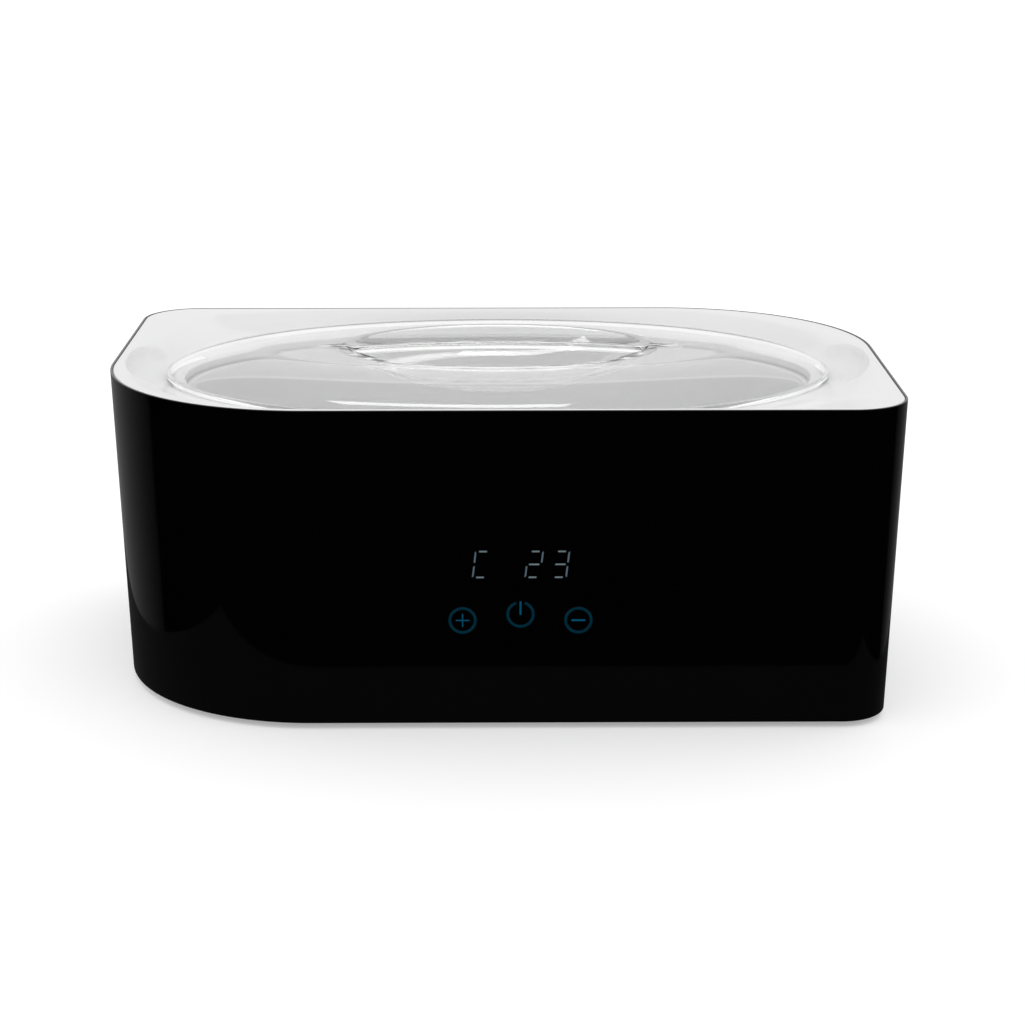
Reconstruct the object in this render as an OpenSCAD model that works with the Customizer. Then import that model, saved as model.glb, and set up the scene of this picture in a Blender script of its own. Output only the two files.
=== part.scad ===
// Heated wax bath: a black body with two large and two small upright corners, a white
// dished deck, a clear oval lid, and the tank, heater and electronics that it holds.
// Origin: the floor under the middle of the body. +X to the right, -Y to the front.

/* [Body] */
// Width of the body at its rim
body_w = 400; // [396:1:410]
// Depth of the body at its rim, front to back
body_d = 252; // [250:1:260]
// Height of the black shell, without its feet
body_h = 161; // [158:1:166]
// How far each side leans in from the rim to the bottom edge
draft = 5; // [3:0.5:6]
// Radius of the front left and back right corners
big_r = 107; // [102:1:109]
// Radius of the front right and back left corners
small_r = 29; // [26:1:32]
// Wall thickness of the shell
wall = 2.5; // [2.2:0.1:3]
// Height of the feet below the shell
foot_h = 3; // [2.5:0.5:4]

/* [Deck] */
// Depth of the dish, from the rim down to the lid's seat
dish_depth = 10.5; // [10:0.5:11.5]
// Thickness of the deck
deck_t = 3; // [2.5:0.5:3]
// Half length of a finger scoop, along the side
scoop_len = 43; // [38:1:50]

/* [Lid] */
// Length of the lid
lid_w = 349; // [346:1:350]
// Width of the lid, front to back
lid_d = 215.4; // [212:0.2:216]
// Wall thickness of the lid
lid_t = 2.5; // [2:0.1:2.8]
// Rise of the lid's dome above its low upright wall
dome_h = 13; // [11:0.5:14]
// Length of the oval grip recess
recess_w = 159.6; // [150:0.2:164]
// Width of the oval grip recess
recess_d = 105.6; // [100:0.2:108]
// Depth of the grip recess
recess_h = 17; // [15:0.5:18]
// Thickness of the grip bar along its top
bar_t = 7; // [6:0.5:9]

/* [Tank] */
// Length of the tank's mouth
tank_w = 324; // [318:1:326]
// Width of the tank's mouth
tank_d = 190.4; // [186:0.2:192]
// Inside depth of the tank
tank_h = 83; // [76:1:83]
// Sheet thickness of the tank
tank_t = 2; // [1.6:0.1:2]

/* [Controls] */
// Middle of the control field, along the front
control_x = 10.6; // [6:0.2:14]
// Distance between neighbouring touch icons
icon_pitch = 28.4; // [26:0.2:30]
// Outer diameter of an icon's ring
icon_d = 13.9; // [12:0.1:15]
// Height of a digit
digit_h = 14.1; // [12:0.1:15]
// Distance between neighbouring digits
digit_pitch = 12.8; // [12:0.1:13]

/* [Hidden] */
$fn = 64;

eps = 0.01;
floor_z = foot_h;                      // underside of the shell
rim_z = foot_h + body_h;               // top edge of the shell and the deck
half_w = body_w / 2;
half_d = body_d / 2;
lean = atan(draft / body_h);           // angle of the front and back walls
clear = 0.15;                          // gap between the shell's lip and the deck
lip_t = 1.2;                           // thin top edge of the shell, round the deck
ledge_z = rim_z - 14;                  // the deck's skirt stands on this step

// Corner posts of the outline: [x, y, radius at the rim]
CORNERS = [
    [-(half_w - big_r), -(half_d - big_r), big_r],
    [half_w - small_r, -(half_d - small_r), small_r],
    [half_w - big_r, half_d - big_r, big_r],
    [-(half_w - small_r), half_d - small_r, small_r]];

// Screw posts that run down from the deck to the base: [x, y]
POSTS = [[-148, -82], [168, -94], [148, 82], [-168, 94]];
post_r = 5;

// Deck and lid
seat_z = rim_z - dish_depth;           // the lid stands here
rim_flat = 2;                          // level edge of the deck before its dish
lid_a = lid_w / 2;
lid_b = lid_d / 2;
dish_gap = 2;                          // flat seat outside the lid
lid_lift = 0.3;                        // air under the lid's edge
lid_z = seat_z + lid_lift;
wall_z = rim_z - 8;                    // top of the lid's upright wall
dome_z = wall_z + dome_h;              // lid height at the recess
dome_w = 50;                           // width of the dome, in from the wall
dome_crown = 1.65;                     // how soon the dome levels out
dome_edge = 0.62;                      // how steeply it leaves the wall
dome_steps = 8;
scoop_x = half_w - 24;
scoop_w = 18.5;
scoop_h = 10.5;
scoop_z = rim_z - 1;

// Grip recess and bar
recess_a = recess_w / 2;
recess_b = recess_d / 2;
bowl_z = dome_z - recess_h;            // top face of the recess's floor
bowl_flat = 36;                        // half length of the level floor
bowl_power = 1.6;                      // how the bowl's side steepens
bead_w = 2.8;
bead_h = 0.4;
bar_mid_z = dome_z + 2;                // top of the bar in its middle
bar_end_z = dome_z - 1;                // and where it meets the recess's ends
bar_flare = 13;                        // half width of the bar at its foot

// Tank
mouth_a = tank_w / 2;
mouth_b = tank_d / 2;
tank_lean = 10;                        // mouth to floor, each side
flange_w = 10;
gasket_t = 1.5;
flange_z = seat_z - deck_t - gasket_t; // top of the tank's flange
tank_floor = flange_z - tank_h;        // inside floor
tank_under = tank_floor - tank_t;      // underside of the tank
tank_round = 18;                       // radius between the wall and the floor
ring_t = 2;
ring_top = flange_z - tank_t;
RING_ANGLES = [25, 65, 115, 155, 205, 245, 295, 335];
ring_screw_a = mouth_a + 15.5;
ring_screw_b = mouth_b + 14.3;

// Heater stack under the tank
pad_t = 1.5;
plate_t = 1.5;
heater_a = 128;
heater_b = 62;
port_a = 44;                           // opening in the heater for the sensors
port_b = 16;
STUDS = [[-85, -30], [85, -30], [-85, 30], [85, 30]];
STRAP_STUDS = [[-34, 0], [34, 0]];
strap_z = tank_under - 9;              // top of the sensor strap
strap_t = 1.2;
stud_r = 2;
nut_h = 3.2;
shield_z = floor_z + 39;               // underside of the heat shield
SHIELD_POSTS = [[-133, -55], [133, -55], [-133, 55], [133, 55]];

// Base
base_t = 3;
base_top = floor_z + base_t;
FEET = [[-125, -84], [146, -98], [125, 84], [-146, 98]];
foot_r = 9;

// Control field on the front wall
icon_z = 57.5;
power_lift = 3.1;                      // the middle icon stands higher
digit_z = 86.5;
inlay_t = 0.4;
line_w = 1.4;                          // stroke of an icon's ring
bar_line = 0.9;                        // stroke of an icon's bars
icon_bar = 7;                          // length of the bars in an icon
digit_w = 7.9;
seg_t = 0.8;                           // width of a lit segment
digit_slant = 6.5;
ICON_X = [for (i = [-1:1]) control_x + i * icon_pitch];
ICON_Z = [icon_z, icon_z + power_lift, icon_z];
board_w = 86;
board_h = 56;
board_z = 73;
board_gap = 10.9;                      // from the outer face in to the board
board_t = 1.6;
BOARD_HOLES = [[-39, -24], [39, -24], [-39, 24], [39, 24]];

// Power board on the base, under the heat shield
power_x = -60;
power_y = 14;
power_w = 120;
power_d = 72;
power_z = base_top + 8;
POWER_HOLES = [[-54, -30], [54, -30], [-54, 30], [54, 30]];

// Appliance inlet on the back wall
inlet_x = -118;
inlet_z = 30;
inlet_w = 27;
inlet_h = 20;
inlet_in = 22;                         // depth of the inlet's body behind the wall
flange_t = 2.6;
socket_w = 24;
socket_h = 16.4;
socket_in = 16;
screw_pitch = 40;
wire_r = 1.3;
thin_wire_r = 0.8;
core_r = 0.6;
core_pitch = 1.3;
// Contact blades: [x, y] on the inlet's face
BLADES = [[-7, -2], [7, -2], [0, 2]];

// ---------------------------------------------------------------- shared shapes

// Front face of the body at height z
function front_y(z) = -half_d + draft * (rim_z - z) / body_h;
// Inset of the outline at height z
function lean_at(z) = draft * (rim_z - z) / body_h;

// Upright block with the body's outline, from z0 to z1, set in by a further inset
module body_block(z0, z1, inset) {
    hull()
        for (c = CORNERS)
            translate([c[0], c[1], z0])
                cylinder(
                    h = z1 - z0,
                    r1 = c[2] - lean_at(z0) - inset,
                    r2 = c[2] - lean_at(z1) - inset,
                    $fn = 96);
}

// Cylinder with an elliptical section
module oval(a, b, h) {
    scale([1, b / a, 1])
        cylinder(h = h, r = a);
}

// Ring with elliptical edges and the same width all round
module oval_ring(a, b, w, h) {
    difference() {
        oval(a + w, b + w, h);
        translate([0, 0, -1])
            oval(a, b, h + 2);
    }
}

// Places its children on the front wall: +Z out of the wall, +Y up along it
module on_front(x, z) {
    translate([x, front_y(z), z])
        rotate([90 + lean, 0, 0])
            children();
}

// The same on the back wall
module on_back(x, z) {
    rotate([0, 0, 180])
        on_front(-x, z)
            children();
}

module hole(r, h) {
    cylinder(h = h, r = r, $fn = 32);
}

// Pan-head screw: the head's underside at z = 0, the shank pointing to -Z
module screw(shank_r, length, head_r, head_h) {
    translate([0, 0, -length])
        cylinder(h = length + eps, r = shank_r, $fn = 24);
    difference() {
        cylinder(h = head_h, r = head_r, $fn = 32);
        for (a = [0, 90])
            rotate([0, 0, a])
                translate([-head_r * 0.6, -0.35, head_h * 0.5])
                    cube([head_r * 1.2, 0.7, head_h]);
    }
}

// Round wire through a list of points
module wire(points, r) {
    for (i = [0:len(points) - 2])
        hull() {
            translate(points[i])
                sphere(r = r, $fn = 8);
            translate(points[i + 1])
                sphere(r = r, $fn = 8);
        }
}

// ---------------------------------------------------------------- casing

// The oval dish that is cut out of the deck, and lowered for its underside
module dish(drop) {
    hull() {
        translate([0, 0, -drop])
            body_block(rim_z, rim_z + 1, lip_t + clear + rim_flat);
        translate([0, 0, seat_z - drop])
            scale([1, (lid_b + dish_gap) / (lid_a + dish_gap), 1])
                cylinder(h = eps, r = lid_a + dish_gap, $fn = 96);
    }
}

// Finger scoop beside the lid, with a further thickness round it
module scoop(side, thick) {
    translate([side * scoop_x, 0, scoop_z])
        scale([(scoop_w + thick) / scoop_len, 1, (scoop_h + thick) / scoop_len])
            sphere(r = scoop_len);
}

module outer_shell() {
    color([0.02, 0.02, 0.025])
        difference() {
            union() {
                difference() {
                    body_block(floor_z, rim_z, 0);
                    body_block(floor_z - 1, ledge_z, wall);
                    body_block(ledge_z - eps, rim_z + 1, lip_t);
                }
                for (p = BOARD_HOLES)
                    on_front(control_x, board_z)
                        translate([p[0], p[1], -board_gap])
                            cylinder(h = board_gap - wall + 0.5, r = 3.2, $fn = 32);
            }
            for (p = BOARD_HOLES)
                on_front(control_x, board_z)
                    translate([p[0], p[1], -board_gap - 1])
                        hole(1.1, 8);
            control_pockets();
            on_back(inlet_x, inlet_z) {
                translate([-inlet_w / 2 - 0.2, -inlet_h / 2 - 0.2, -wall - 2])
                    cube([inlet_w + 0.4, inlet_h + 0.4, wall + 4]);
                for (s = [-1, 1])
                    translate([s * screw_pitch / 2, 0, -wall - 2])
                        hole(1.7, wall + 4);
            }
        }
}

// Shallow pockets in the front wall that the icons and the digits fill
module control_pockets() {
    on_front(ICON_X[0], ICON_Z[0])
        inlay(1)
            plus_outline();
    on_front(ICON_X[1], ICON_Z[1])
        inlay(1)
            power_outline();
    on_front(ICON_X[2], ICON_Z[2])
        inlay(1)
            minus_outline();
    on_front(control_x, digit_z)
        inlay(1)
            digit_outlines();
}

module top_deck() {
    color([0.93, 0.93, 0.94])
        difference() {
            union() {
                difference() {
                    body_block(ledge_z, rim_z, lip_t + clear);
                    difference() {
                        body_block(ledge_z - 1, rim_z - deck_t, lip_t + clear + wall);
                        dish(deck_t);
                        for (side = [-1, 1])
                            scoop(side, deck_t - 0.5);
                    }
                }
                for (a = RING_ANGLES)
                    translate([ring_screw_a * cos(a), ring_screw_b * sin(a), ring_top])
                        cylinder(h = rim_z - 2 - ring_top, r = 3.5, $fn = 32);
                for (p = POSTS)
                    translate([p[0], p[1], base_top])
                        cylinder(h = rim_z - 2 - base_top, r = post_r, $fn = 32);
            }
            dish(0);
            for (side = [-1, 1])
                scoop(side, 0);
            translate([0, 0, ledge_z - 10])
                oval(mouth_a + 2, mouth_b + 2, 30);
            for (a = RING_ANGLES)
                translate([ring_screw_a * cos(a), ring_screw_b * sin(a), ring_top - 1])
                    hole(1.3, 5.5);
            for (p = POSTS)
                translate([p[0], p[1], base_top - 1])
                    hole(1.8, 22);
        }
}

module base_plate() {
    color([0.05, 0.05, 0.055])
        difference() {
            union() {
                body_block(floor_z, base_top, wall + 0.2);
                for (p = SHIELD_POSTS)
                    translate([p[0], p[1], base_top - eps])
                        cylinder(h = shield_z - base_top + eps, r = 4, $fn = 32);
                for (p = POWER_HOLES)
                    translate([power_x + p[0], power_y + p[1], base_top - eps])
                        cylinder(h = power_z - base_top + eps, r = 3, $fn = 32);
            }
            for (p = SHIELD_POSTS)
                translate([p[0], p[1], shield_z - 12])
                    hole(1.3, 13);
            for (p = POWER_HOLES)
                translate([power_x + p[0], power_y + p[1], power_z - 7])
                    hole(1.1, 8);
            for (p = POSTS)
                translate([p[0], p[1], floor_z - 1]) {
                    hole(2.1, base_t + 2);
                    hole(4.2, 2.4);
                }
            for (p = FEET)
                translate([p[0], p[1], floor_z - 1])
                    hole(foot_r + 0.1, 2);
            for (side = [-1, 1])
                for (i = [-4:4])
                    translate([side * 76 + i * 7 - 1.5, -45, floor_z - 1])
                        cube([3, 34, base_t + 2]);
        }
}

module rubber_feet() {
    color([0.07, 0.07, 0.07])
        for (p = FEET)
            translate([p[0], p[1], 0])
                union() {
                    cylinder(h = 1, r1 = foot_r - 1, r2 = foot_r, $fn = 48);
                    translate([0, 0, 1])
                        cylinder(h = floor_z, r = foot_r, $fn = 48);
                }
}

module base_screws() {
    color([0.7, 0.7, 0.72])
        for (p = POSTS)
            translate([p[0], p[1], floor_z + 1.4])
                mirror([0, 0, 1])
                    screw(1.75, 16, 3.6, 1.3);
}

// ---------------------------------------------------------------- tank and heater

// Inside or outside form of the tank, from its floor up to z1, half sizes at the mouth
module tank_form(a, b, z0, z1, corner) {
    foot = a - tank_lean;
    scale([1, b / a, 1])
        rotate_extrude($fn = 96)
            polygon(concat(
                [[0, z1], [0, z0]],
                [for (t = [0:15:90])
                    [foot - corner + corner * sin(t), z0 + corner - corner * cos(t)]],
                [[a, z1]]));
}

module inner_tank() {
    color([0.9, 0.9, 0.91])
        difference() {
            union() {
                tank_form(mouth_a + tank_t, mouth_b + tank_t, tank_under, flange_z, tank_round + tank_t);
                translate([0, 0, flange_z - tank_t])
                    oval(mouth_a + flange_w, mouth_b + flange_w, tank_t);
            }
            tank_form(mouth_a, mouth_b, tank_floor, flange_z + 0.001, tank_round);
        }
}

module tank_gasket() {
    color([0.82, 0.82, 0.81])
        translate([0, 0, flange_z])
            oval_ring(mouth_a + 3, mouth_b + 3, 4, gasket_t);
}

module retaining_ring() {
    color([0.6, 0.6, 0.62])
        difference() {
            translate([0, 0, ring_top - ring_t])
                oval_ring(mouth_a + 3, mouth_b + 3, 17, ring_t);
            for (a = RING_ANGLES)
                translate([ring_screw_a * cos(a), ring_screw_b * sin(a), ring_top - ring_t - 1])
                    hole(1.6, ring_t + 2);
        }
}

module ring_screws() {
    color([0.7, 0.7, 0.72])
        for (a = RING_ANGLES)
            translate([ring_screw_a * cos(a), ring_screw_b * sin(a), ring_top - ring_t])
                mirror([0, 0, 1])
                    screw(1.25, 6, 2.7, 1.8);
}

// Flat oval layer of the heater with its sensor port and stud holes
module heater_layer(z, t) {
    difference() {
        translate([0, 0, z])
            oval(heater_a, heater_b, t);
        translate([0, 0, z - 1])
            oval(port_a, port_b, t + 2);
        for (p = STUDS)
            translate([p[0], p[1], z - 1])
                hole(2.4, t + 2);
    }
}

module heating_pad() {
    color([0.75, 0.3, 0.15])
        heater_layer(tank_under - pad_t, pad_t);
}

module heater_plate() {
    color([0.62, 0.62, 0.64])
        heater_layer(tank_under - pad_t - plate_t, plate_t);
}

module tank_studs() {
    color([0.72, 0.7, 0.65])
        union() {
            for (p = STUDS)
                translate([p[0], p[1], tank_under - 9])
                    cylinder(h = 9, r = stud_r, $fn = 24);
            for (p = STRAP_STUDS)
                translate([p[0], p[1], tank_under - 14.5])
                    cylinder(h = 14.5, r = stud_r, $fn = 24);
        }
}

module nut_at(p, top) {
    translate([p[0], p[1], top - nut_h])
        difference() {
            cylinder(h = nut_h, r = 4, $fn = 6);
            translate([0, 0, -1])
                hole(stud_r + 0.05, nut_h + 2);
        }
}

module stud_nuts() {
    color([0.7, 0.7, 0.72]) {
        for (p = STUDS)
            nut_at(p, tank_under - pad_t - plate_t);
        for (p = STRAP_STUDS)
            nut_at(p, strap_z - strap_t);
    }
}

module insulation_sleeve() {
    color([0.88, 0.86, 0.8])
        translate([0, 0, tank_under + 2])
            oval_ring(mouth_a + 3, mouth_b + 3, 6, ring_top - ring_t - tank_under - 3);
}

module insulation_pad() {
    color([0.88, 0.86, 0.8])
        translate([0, 0, shield_z + 1])
            oval(138, 66, tank_under - 15.5 - shield_z - 1);
}

module heat_shield() {
    color([0.65, 0.65, 0.67])
        difference() {
            translate([-140, -68, shield_z])
                cube([280, 136, 1]);
            for (p = SHIELD_POSTS)
                translate([p[0], p[1], shield_z - 1])
                    hole(1.6, 3);
        }
}

module shield_screws() {
    color([0.7, 0.7, 0.72])
        for (p = SHIELD_POSTS)
            translate([p[0], p[1], shield_z + 1])
                screw(1.25, 8, 2.7, 1.8);
}

module thermal_cutout() {
    color([0.15, 0.13, 0.12])
        translate([-17, 0, 0])
            union() {
                translate([0, 0, tank_under - 2])
                    cylinder(h = 2, r = 8, $fn = 48);
                translate([0, 0, strap_z])
                    cylinder(h = tank_under - 2 - strap_z + eps, r = 7.2, $fn = 48);
                for (s = [-1, 1])
                    translate([-3, s * 9.5 - 0.4, strap_z + 2])
                        cube([6, 0.8, 5]);
                translate([-2, -9.5, strap_z + 3])
                    cube([4, 19, 3]);
            }
}

module temperature_sensor() {
    color([0.75, 0.73, 0.7])
        translate([18, 0, 0])
            union() {
                translate([0, 0, tank_under - 1.5])
                    cylinder(h = 1.5, r = 6, $fn = 48);
                translate([0, 0, strap_z])
                    cylinder(h = tank_under - 1.5 - strap_z + eps, r = 3, $fn = 32);
            }
}

module sensor_strap() {
    color([0.65, 0.65, 0.67])
        difference() {
            translate([-40, -5, strap_z - strap_t])
                cube([80, 10, strap_t]);
            for (p = STRAP_STUDS)
                translate([p[0], p[1], strap_z - strap_t - 1])
                    hole(stud_r + 0.2, strap_t + 2);
        }
}

// ---------------------------------------------------------------- controls

// Flat outline raised to an inlay that ends level with the wall, with a spare height above
module inlay(above) {
    translate([0, 0, -inlay_t])
        linear_extrude(inlay_t + above)
            children();
}

module ring_outline() {
    difference() {
        circle(d = icon_d);
        circle(d = icon_d - 2 * line_w);
    }
}

module plus_outline() {
    ring_outline();
    square([icon_bar, bar_line], center = true);
    square([bar_line, icon_bar], center = true);
}

module minus_outline() {
    ring_outline();
    square([icon_bar, bar_line], center = true);
}

// Ring that is open at the top, with an upright bar in the gap
module power_outline() {
    difference() {
        ring_outline();
        polygon([[0, 0], [-icon_d * tan(19), icon_d], [icon_d * tan(19), icon_d]]);
    }
    translate([-bar_line / 2, icon_d / 2 - icon_bar])
        square([bar_line, icon_bar + 0.4]);
}

// One bar of a digit between two points, with pointed ends
function bar_points(p, q) =
    let (d = (q - p) / norm(q - p), n = [-d[1], d[0]] * seg_t / 2, g = 0.15, s = seg_t / 2)
        [p + d * g, p + d * (g + s) + n, q - d * (g + s) + n,
            q - d * g, q - d * (g + s) - n, p + d * (g + s) - n];

// Leans a point to the right as it goes up
function slanted(p) = [p[0] + p[1] * tan(digit_slant), p[1]];

// The seven bars of a digit: top, upper right, lower right, bottom, lower left, upper left,
// middle, each as its two ends in half widths and half heights
BAR_ENDS = [[[-1, 1], [1, 1]], [[1, 1], [1, 0]], [[1, 0], [1, -1]], [[-1, -1], [1, -1]],
    [[-1, 0], [-1, -1]], [[-1, 1], [-1, 0]], [[-1, 0], [1, 0]]];

// The bars that are lit in each of the four places
LIT = [[0, 3, 4, 5], [], [0, 1, 6, 4, 3], [0, 1, 6, 2, 3]];

module digit_outlines() {
    half = [(digit_w - seg_t) / 2, (digit_h - seg_t) / 2];
    for (place = [0:3])
        translate([(place - 1.5) * digit_pitch, 0])
            for (k = LIT[place])
                polygon([for (p = bar_points(
                        [BAR_ENDS[k][0][0] * half[0], BAR_ENDS[k][0][1] * half[1]],
                        [BAR_ENDS[k][1][0] * half[0], BAR_ENDS[k][1][1] * half[1]]))
                    slanted(p)]);
}

module digit_segments() {
    color([0.5, 0.58, 0.63])
        on_front(control_x, digit_z)
            inlay(0)
                digit_outlines();
}

module icon_plus() {
    color([0.0, 0.28, 0.38])
        on_front(ICON_X[0], ICON_Z[0])
            inlay(0)
                plus_outline();
}

module icon_power() {
    color([0.0, 0.28, 0.38])
        on_front(ICON_X[1], ICON_Z[1])
            inlay(0)
                power_outline();
}

module icon_minus() {
    color([0.0, 0.28, 0.38])
        on_front(ICON_X[2], ICON_Z[2])
            inlay(0)
                minus_outline();
}

module control_board() {
    color([0.05, 0.3, 0.16])
        on_front(control_x, board_z)
            union() {
                difference() {
                    translate([-board_w / 2, -board_h / 2, -board_gap - board_t])
                        cube([board_w, board_h, board_t]);
                    for (p = BOARD_HOLES)
                        translate([p[0], p[1], -board_gap - board_t - 1])
                            hole(1.6, board_t + 2);
                }
                translate([-9, -16, -board_gap - board_t - 2])
                    cube([18, 12, 2 + eps]);
                translate([16, -20, -board_gap - board_t - 4])
                    cube([12, 5, 4 + eps]);
            }
}

module display_module() {
    color([0.1, 0.1, 0.11])
        on_front(control_x, digit_z)
            translate([-25.2, -9.5, -board_gap])
                cube([50.4, 19, board_gap - wall - 0.3]);
}

module touch_springs() {
    color([0.75, 0.72, 0.62])
        for (i = [0:2])
            on_front(ICON_X[i], ICON_Z[i])
                translate([0, 0, -board_gap])
                    difference() {
                        cylinder(h = board_gap - wall - 0.1, r = 6, $fn = 48);
                        translate([0, 0, -1])
                            cylinder(h = board_gap, r = 4.8, $fn = 48);
                    }
}

module icon_leds() {
    color([0.9, 0.9, 0.82])
        for (i = [0:2])
            on_front(ICON_X[i], ICON_Z[i])
                translate([-1.6, -1.4, -board_gap])
                    cube([3.2, 2.8, 1.9]);
}

module board_screws() {
    color([0.7, 0.7, 0.72])
        for (p = BOARD_HOLES)
            on_front(control_x, board_z)
                translate([p[0], p[1], -board_gap - board_t])
                    mirror([0, 0, 1])
                        screw(1.05, 6, 2.4, 1.6);
}

// ---------------------------------------------------------------- electrics

module on_power(x, y, z) {
    translate([power_x + x, power_y + y, power_z + z])
        children();
}

module power_board() {
    color([0.05, 0.3, 0.16])
        difference() {
            on_power(-power_w / 2, -power_d / 2, 0)
                cube([power_w, power_d, 1.6]);
            for (p = POWER_HOLES)
                on_power(p[0], p[1], -1)
                    hole(1.6, 4);
        }
}

module transformer() {
    color([0.2, 0.2, 0.22])
        on_power(-26, 8, 1.6)
            union() {
                translate([-17, -14, 0])
                    cube([34, 28, 3]);
                translate([-15, -12.5, 3 - eps])
                    cube([30, 25, 16]);
                translate([-11, -15, 5])
                    cube([22, 30, 12]);
            }
}

module heater_relay() {
    color([0.1, 0.15, 0.4])
        on_power(24, 12, 1.6)
            translate([-9.5, -7.7, 0])
                cube([19, 15.4, 15.5]);
}

module fuse_holder() {
    color([0.8, 0.8, 0.78])
        on_power(2, -22, 1.6)
            union() {
                for (s = [-1, 1])
                    translate([s * 11 - 2, -3.5, 0])
                        cube([4, 7, 8]);
                translate([-13.5, 0, 5])
                    rotate([0, 90, 0])
                        cylinder(h = 27, r = 2.6, $fn = 32);
            }
}

module terminal_block() {
    color([0.1, 0.4, 0.2])
        on_power(-48, -12, 1.6)
            difference() {
                translate([-5, -15, 0])
                    cube([10, 30, 11]);
                for (i = [-2.5:1:2.5])
                    translate([-6, i * 4.8 - 1.5, 2])
                        cube([5, 3, 4]);
            }
}

module power_board_screws() {
    color([0.7, 0.7, 0.72])
        for (p = POWER_HOLES)
            on_power(p[0], p[1], 1.6)
                screw(1.05, 6, 2.5, 1.6);
}

// Six-sided outline of the inlet's socket: its two upper corners are cut off
module socket_outline() {
    w = socket_w / 2;
    h = socket_h / 2;
    c = 4.5;
    polygon([[-w, -h], [w, -h], [w, h - c], [w - c, h], [c - w, h], [-w, h - c]]);
}

module appliance_inlet() {
    color([0.06, 0.06, 0.065])
        on_back(inlet_x, inlet_z)
            difference() {
                union() {
                    translate([-inlet_w / 2, -inlet_h / 2, -inlet_in])
                        cube([inlet_w, inlet_h, inlet_in + 1]);
                    hull() {
                        translate([-inlet_w / 2 - 1, -inlet_h / 2 - 1.5, 0])
                            cube([inlet_w + 2, inlet_h + 3, flange_t]);
                        for (s = [-1, 1])
                            translate([s * screw_pitch / 2, 0, 0])
                                cylinder(h = flange_t, r = 4.5, $fn = 32);
                    }
                }
                translate([0, 0, flange_t - socket_in])
                    linear_extrude(socket_in + 1)
                        socket_outline();
                for (b = BLADES)
                    translate([b[0] - 1, b[1] - 2, -inlet_in - 1])
                        cube([2, 4, inlet_in]);
                for (s = [-1, 1])
                    translate([s * screw_pitch / 2, 0, -1])
                        hole(1.7, flange_t + 2);
            }
}

module inlet_pins() {
    color([0.8, 0.78, 0.72])
        on_back(inlet_x, inlet_z)
            for (b = BLADES)
                translate([b[0] - 1, b[1] - 2, -inlet_in - 7])
                    cube([2, 4, inlet_in + 7 + flange_t - 3]);
}

module inlet_screws() {
    color([0.12, 0.12, 0.13])
        on_back(inlet_x, inlet_z)
            for (s = [-1, 1])
                translate([s * screw_pitch / 2, 0, flange_t])
                    screw(1.5, 8.5, 2.6, 1.2);
}

module inlet_nuts() {
    color([0.7, 0.7, 0.72])
        on_back(inlet_x, inlet_z)
            for (s = [-1, 1])
                translate([s * screw_pitch / 2, 0, -wall - 2.4])
                    difference() {
                        cylinder(h = 2.4, r = 3.1, $fn = 6);
                        translate([0, 0, -1])
                            hole(1.55, 5);
                    }
}

// Line and neutral, from the inlet's tabs to the terminal block
module mains_wires() {
    color([0.45, 0.25, 0.15])
        for (s = [-1, 1])
            wire([
                [inlet_x - 7 * s, 91.4, inlet_z - 1.5],
                [inlet_x - 7 * s, 82, inlet_z - 1],
                [inlet_x - 4 - 2.4 * s, 40, 22],
                [-118 - 2.4 * s, 10 - 2.4 * s, 19.6],
                [-114.4, 2 - 2.4 * s, 19.6]], wire_r);
}

// From the inlet's earth tab up to a stud of the tank
module earth_wire() {
    color([0.35, 0.6, 0.2])
        wire([
            [inlet_x, 91.4, inlet_z + 3],
            [inlet_x - 2, 82, inlet_z + 8],
            [-134, 76, 44],
            [-132, 66, 55],
            [-105, 45, 58.5],
            [-89.7, 33, 58.8]], wire_r);
}

// From the terminal block round the heat shield to the end of the heating pad
module heater_wires() {
    color([0.8, 0.78, 0.75])
        for (s = [-1, 1])
            wire([
                [-114.4, -9.5 + 2.4 * s, 19.6],
                [-124, -12 + 4 * s, 19.6],
                [-146, -12 + 5 * s, 27],
                [-148, -8 + 6 * s, 44],
                [-142, -4 + 6 * s, 55],
                [-127, 6 * s, tank_under - pad_t - plate_t - wire_r - 0.05]], wire_r);
}

// Thin pair from the temperature sensor to the socket on the control board
module sensor_wires() {
    color([0.1, 0.1, 0.1])
        for (s = [-1, 1])
            wire([
                [22.1, 1.2 * s, strap_z + 4],
                [33 + 1.2 * s, -8, strap_z + 3],
                [40 + 1.2 * s, -40, strap_z - 1],
                [42 + 1.2 * s, -78, 52],
                [38 + 1.2 * s, -98, 53],
                [34 + 1.2 * s, -105.4, 55.5]], thin_wire_r);
}

// Flat cable of five cores from the power board to the back of the control board
module ribbon_cable() {
    color([0.6, 0.6, 0.62])
        for (i = [0:4])
            let (side = i * core_pitch)
                wire([
                    [-24 + side, -18, power_z + 2.6],
                    [-24 + side, -24, power_z + 9],
                    [-8 + side, -66, 30],
                    [4 + side, -86, 38],
                    [10 + side, -101, 46],
                    [10 + side, -109.5, 50]], core_r);
}

// ---------------------------------------------------------------- lid

// Rise of the dome over the lid's upright wall, at the fraction u of its width
function dome_rise(u) = dome_h * pow(1 - pow(1 - u, dome_crown), dome_edge);

// Slope of the dome there, in degrees
function dome_slope(u) =
    u <= 0 ? 90
    : u >= 1 ? 0
    : atan2(dome_rise(1.01 * u) - dome_rise(0.99 * u), 0.02 * u * dome_w);

// Height of the recess's upper face at the half length a of an oval section
function bowl(a) =
    bowl_z + recess_h * pow(max(0, (a - bowl_flat) / (recess_a - bowl_flat)), bowl_power);

function reversed(list) = [for (i = [len(list) - 1:-1:0]) list[i]];
function mix(p, q, u) = p + (q - p) * u;

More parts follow.
